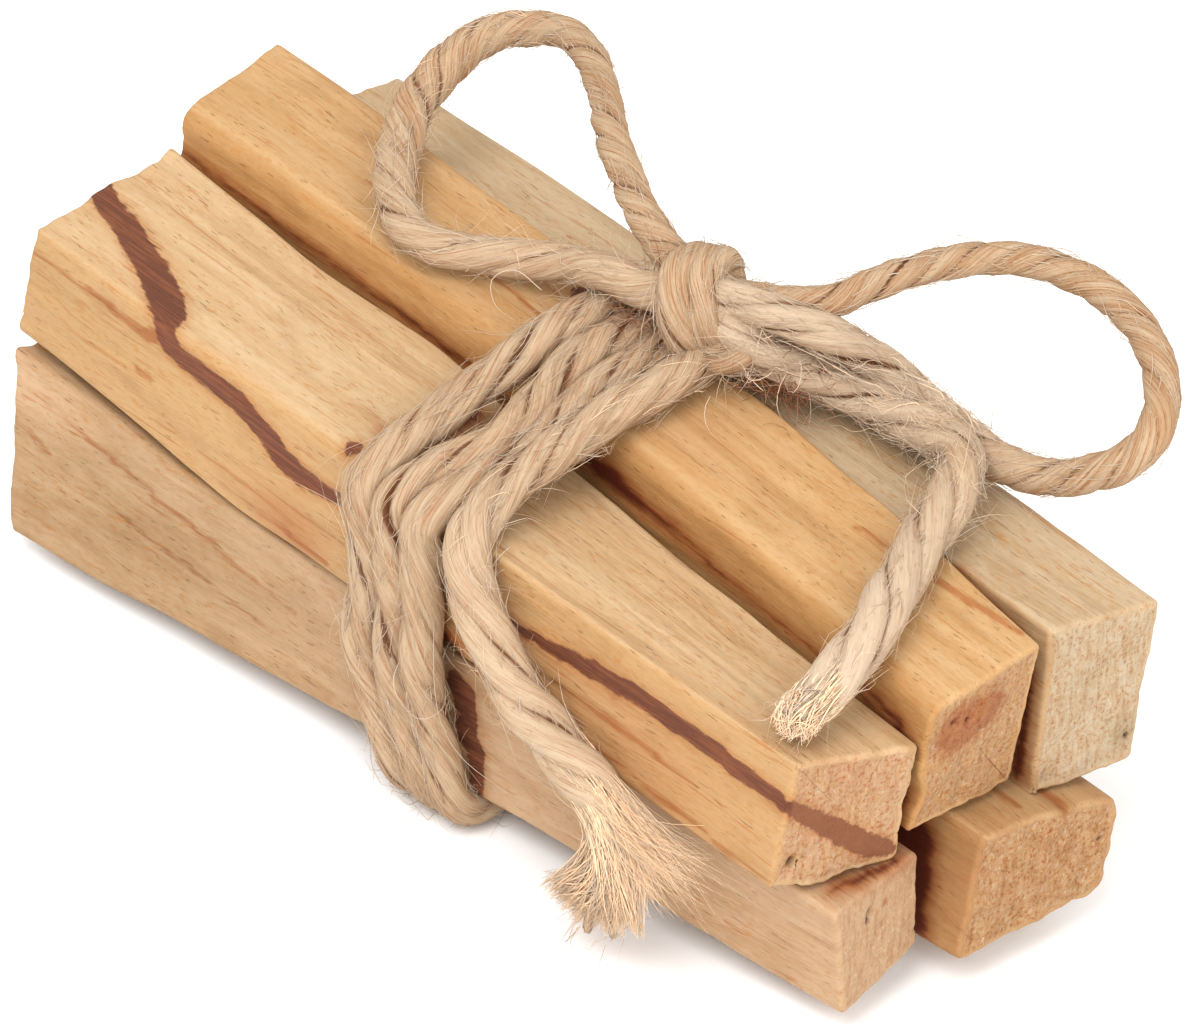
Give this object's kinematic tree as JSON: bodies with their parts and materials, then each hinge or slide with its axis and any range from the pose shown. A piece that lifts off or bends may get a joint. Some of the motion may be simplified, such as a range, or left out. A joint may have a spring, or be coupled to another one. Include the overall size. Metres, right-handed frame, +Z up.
{
  "type": "bundle of wooden sticks",
  "caption": "Small bundle of split, roughly square wooden sticks, tied round the middle with natural twine in a bow with two loops and two frayed tails.",
  "frame": {"origin": "on the surface that the bundle lies on, under the centre of the sticks with their binding", "axes": "+X along the sticks, towards their near cut ends; +Y across the bundle, towards the side away from the loose tail that hangs down; +Z up, towards the knot"},
  "size_m": [0.0992, 0.0574, 0.0449],
  "materials": {
    "stick_top_left": "raw split wood, fine grain, dark resin streaks",
    "stick_top_middle": "raw split wood, golden, fine grain",
    "stick_top_right": "raw split wood, pale, fine grain",
    "stick_bottom_left": "raw split wood, pinkish tan",
    "stick_bottom_right": "raw split wood, rough and porous",
    "jute": "matt three-ply jute twine with loose fibres"
  },
  "bodies": {
    "root": {"stick_top_left": "stick_top_left", "stick_top_middle": "stick_top_middle", "stick_top_right": "stick_top_right", "stick_bottom_left": "stick_bottom_left", "stick_bottom_right": "stick_bottom_right", "twine_wraps": "jute", "twine_knot": "jute", "bow_loop_left": "jute", "bow_loop_right": "jute", "tail_left": "jute", "tail_right": "jute"}
  },
  "joints": []
}
